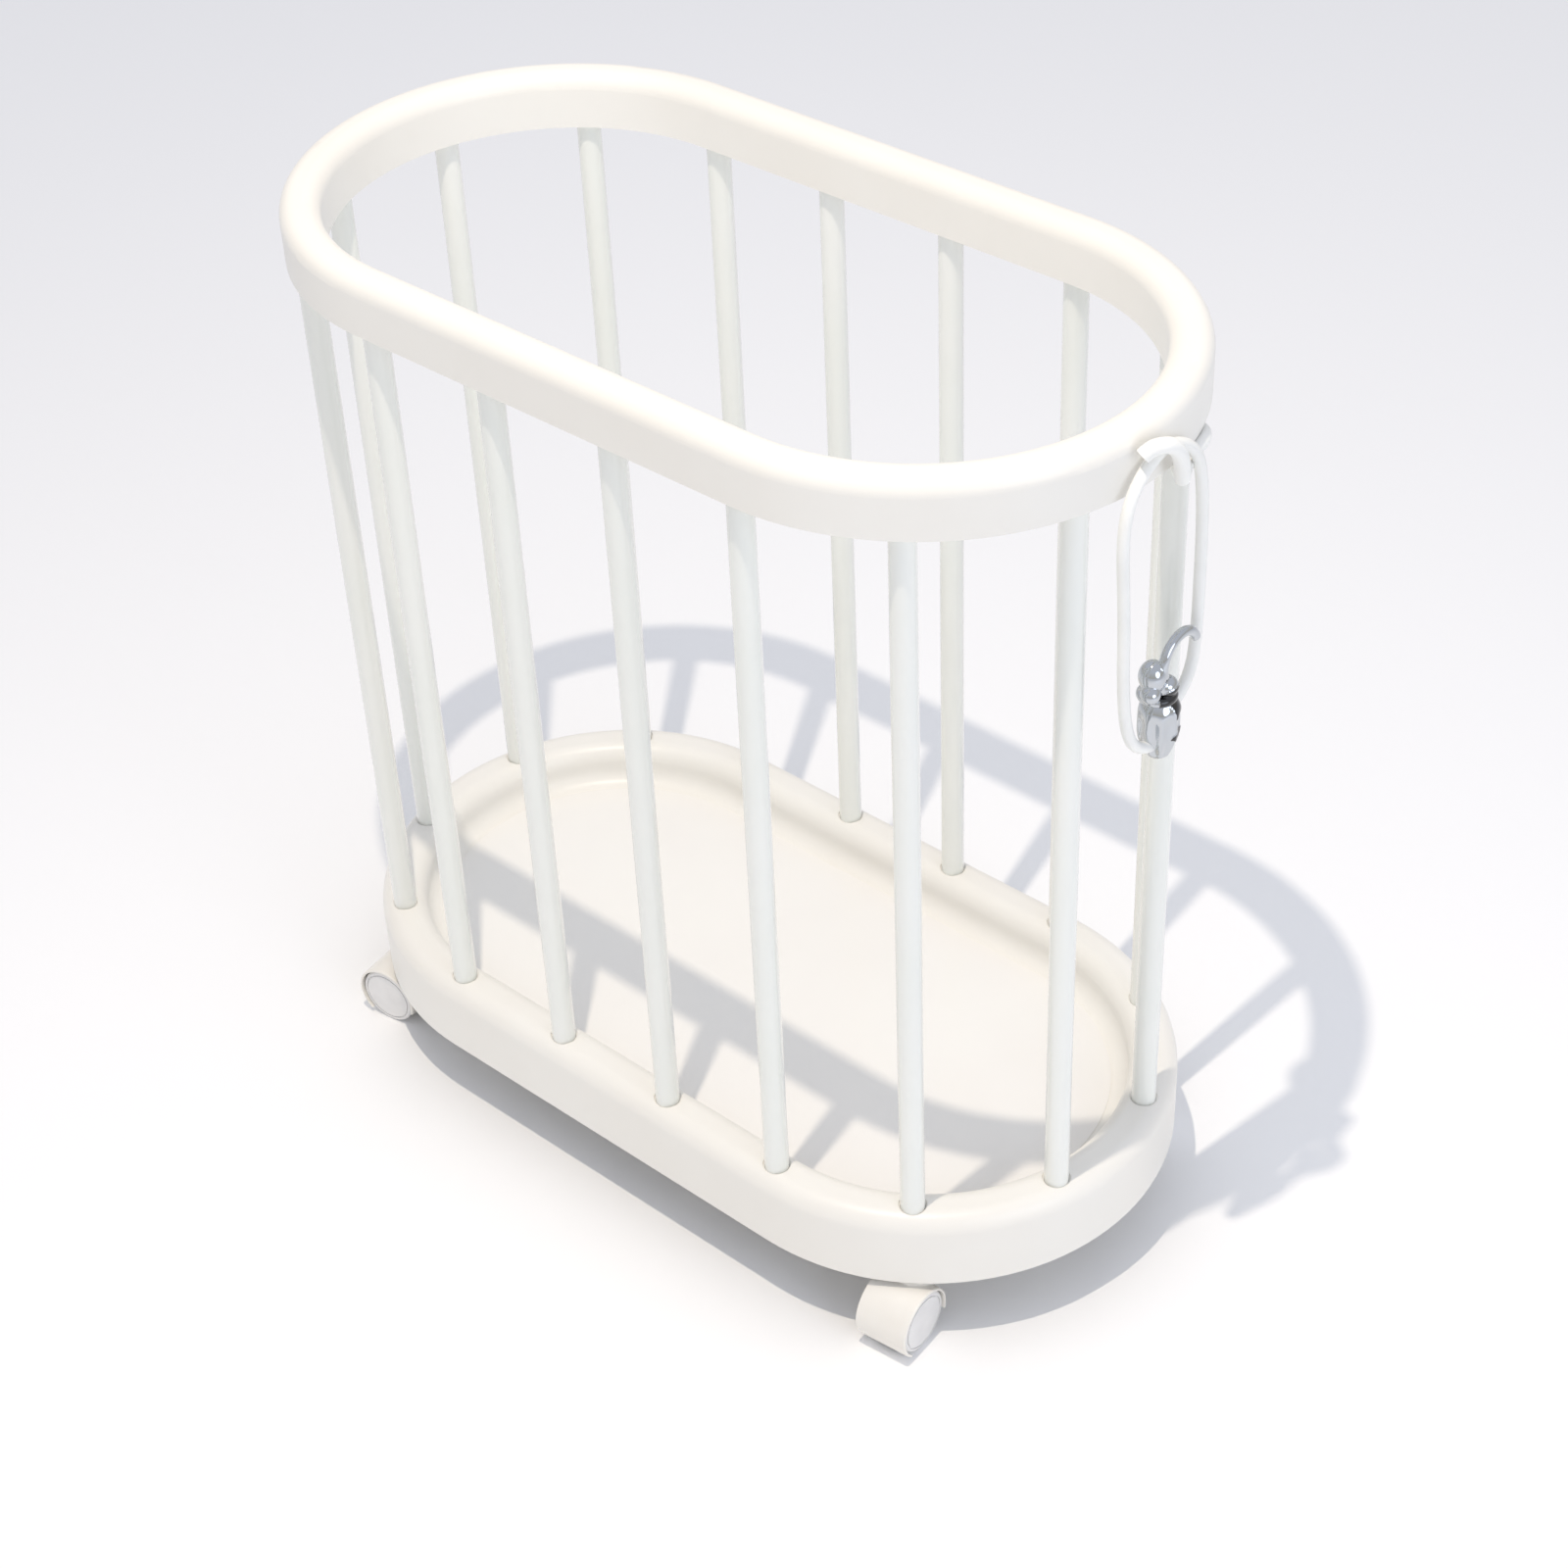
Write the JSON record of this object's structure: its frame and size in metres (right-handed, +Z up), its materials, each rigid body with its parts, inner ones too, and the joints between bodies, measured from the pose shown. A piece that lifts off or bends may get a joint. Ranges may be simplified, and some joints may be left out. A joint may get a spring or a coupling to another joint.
{
  "type": "baby crib",
  "caption": "Tall oval crib with round upright bars between a rounded top rim and a shallow tray, on swivelling twin-wheel casters, with a cord strap and chrome ornament.",
  "frame": {"origin": "on the floor, under the middle of the oval", "axes": "+Z up, +X along the long axis towards the end with the strap, -Y the long side nearer the viewer"},
  "size_m": [0.803, 0.416, 0.82],
  "materials": {
    "frame_white": "satin warm white moulding",
    "rod_enamel": "glossy white enamelled tube",
    "caster_white": "smooth white moulding",
    "wheel_white": "satin white nylon",
    "nylon": "natural nylon",
    "steel": "bright zinc-plated steel",
    "zinc": "dull zinc-plated steel",
    "cord_white": "soft white silicone cord",
    "chrome": "polished chrome"
  },
  "bodies": {
    "frame": {"rim_cap": "frame_white", "rim_cup_ring": "frame_white", "rim_screws": "steel", "base_tray": "frame_white", "rod_01": "rod_enamel", "rod_02": "rod_enamel", "rod_03": "rod_enamel", "rod_04": "rod_enamel", "rod_05": "rod_enamel", "rod_06": "rod_enamel", "rod_07": "rod_enamel", "rod_08": "rod_enamel", "rod_09": "rod_enamel", "rod_10": "rod_enamel", "rod_11": "rod_enamel", "rod_12": "rod_enamel", "rod_13": "rod_enamel", "rod_14": "rod_enamel", "rod_15": "rod_enamel", "rod_16": "rod_enamel", "rod_plugs_top": "nylon", "rod_screws_top": "steel", "rod_plugs_bottom": "nylon", "rod_screws_bottom": "steel", "strap_hitch": "cord_white", "strap_loop": "cord_white", "strap_charm": "chrome", "caster_front_right_socket": "zinc", "caster_front_right_stem": "steel", "caster_front_left_socket": "zinc", "caster_front_left_stem": "steel", "caster_rear_right_socket": "zinc", "caster_rear_right_stem": "steel", "caster_rear_left_socket": "zinc", "caster_rear_left_stem": "steel"},
    "front_right_swivel": {"caster_front_right_hood": "caster_white", "caster_front_right_axle": "steel"},
    "front_right_wheel_a": {"caster_front_right_wheel_a": "wheel_white"},
    "front_right_wheel_b": {"caster_front_right_wheel_b": "wheel_white"},
    "front_left_swivel": {"caster_front_left_hood": "caster_white", "caster_front_left_axle": "steel"},
    "front_left_wheel_a": {"caster_front_left_wheel_a": "wheel_white"},
    "front_left_wheel_b": {"caster_front_left_wheel_b": "wheel_white"},
    "rear_right_swivel": {"caster_rear_right_hood": "caster_white", "caster_rear_right_axle": "steel"},
    "rear_right_wheel_a": {"caster_rear_right_wheel_a": "wheel_white"},
    "rear_right_wheel_b": {"caster_rear_right_wheel_b": "wheel_white"},
    "rear_left_swivel": {"caster_rear_left_hood": "caster_white", "caster_rear_left_axle": "steel"},
    "rear_left_wheel_a": {"caster_rear_left_wheel_a": "wheel_white"},
    "rear_left_wheel_b": {"caster_rear_left_wheel_b": "wheel_white"}
  },
  "joints": [
    {"name": "front_right_swivel", "type": "hinge", "parent": "frame", "child": "front_right_swivel", "pos_m": [0.29243, -0.15358, 0.064], "axis": [0, 0, 1], "continuous": true},
    {"name": "front_right_wheel_a", "type": "hinge", "parent": "front_right_swivel", "child": "front_right_wheel_a", "pos_m": [0.29408, -0.17251, 0.027], "axis": [0.9962, 0.0872, 0], "continuous": true},
    {"name": "front_right_wheel_b", "type": "hinge", "parent": "front_right_swivel", "child": "front_right_wheel_b", "pos_m": [0.29408, -0.17251, 0.027], "axis": [0.9962, 0.0872, 0], "continuous": true},
    {"name": "front_left_swivel", "type": "hinge", "parent": "frame", "child": "front_left_swivel", "pos_m": [-0.29243, -0.15358, 0.064], "axis": [0, 0, 1], "continuous": true},
    {"name": "front_left_wheel_a", "type": "hinge", "parent": "front_left_swivel", "child": "front_left_wheel_a", "pos_m": [-0.31124, -0.15623, 0.027], "axis": [0.1392, -0.9903, 0], "continuous": true},
    {"name": "front_left_wheel_b", "type": "hinge", "parent": "front_left_swivel", "child": "front_left_wheel_b", "pos_m": [-0.31124, -0.15623, 0.027], "axis": [0.1392, -0.9903, 0], "continuous": true},
    {"name": "rear_right_swivel", "type": "hinge", "parent": "frame", "child": "rear_right_swivel", "pos_m": [0.29243, 0.15358, 0.064], "axis": [0, 0, 1], "continuous": true},
    {"name": "rear_right_wheel_a", "type": "hinge", "parent": "rear_right_swivel", "child": "rear_right_wheel_a", "pos_m": [0.30135, 0.13681, 0.027], "axis": [0.8829, 0.4695, 0], "continuous": true},
    {"name": "rear_right_wheel_b", "type": "hinge", "parent": "rear_right_swivel", "child": "rear_right_wheel_b", "pos_m": [0.30135, 0.13681, 0.027], "axis": [0.8829, 0.4695, 0], "continuous": true},
    {"name": "rear_left_swivel", "type": "hinge", "parent": "frame", "child": "rear_left_swivel", "pos_m": [-0.29243, 0.15358, 0.064], "axis": [0, 0, 1], "continuous": true},
    {"name": "rear_left_wheel_a", "type": "hinge", "parent": "rear_left_swivel", "child": "rear_left_wheel_a", "pos_m": [-0.31004, 0.1607, 0.027], "axis": [-0.3746, -0.9272, 0], "continuous": true},
    {"name": "rear_left_wheel_b", "type": "hinge", "parent": "rear_left_swivel", "child": "rear_left_wheel_b", "pos_m": [-0.31004, 0.1607, 0.027], "axis": [-0.3746, -0.9272, 0], "continuous": true}
  ]
}
